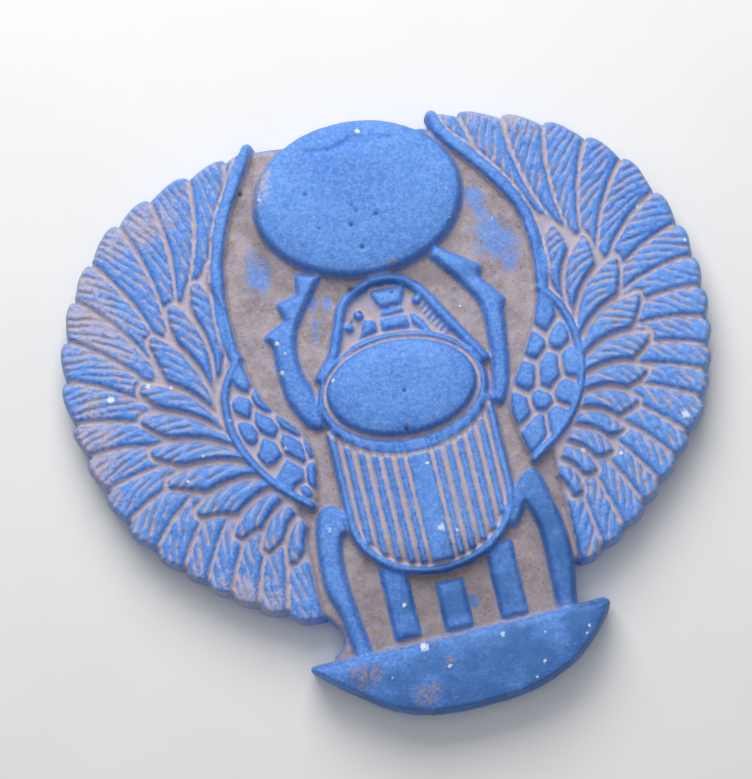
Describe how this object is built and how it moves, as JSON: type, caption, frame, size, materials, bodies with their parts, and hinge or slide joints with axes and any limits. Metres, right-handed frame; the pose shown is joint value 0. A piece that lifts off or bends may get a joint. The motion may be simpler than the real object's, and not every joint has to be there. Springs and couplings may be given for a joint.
{
  "type": "scarab amulet",
  "caption": "Flat-backed moulded plaque of a winged scarab with a sun disc above and a boat-shaped foot below, carved in low relief.",
  "frame": {"origin": "centre of the plaque's width and height, on the flat back", "axes": "+X across the wings, +Y towards the sun disc, +Z out of the carved face"},
  "size_m": [0.1102, 0.1018, 0.012],
  "materials": {
    "blue_frit": "matt blue frit with pinkish tan deposit in the hollows"
  },
  "bodies": {
    "root": {"winged_scarab": "blue_frit"}
  },
  "joints": []
}
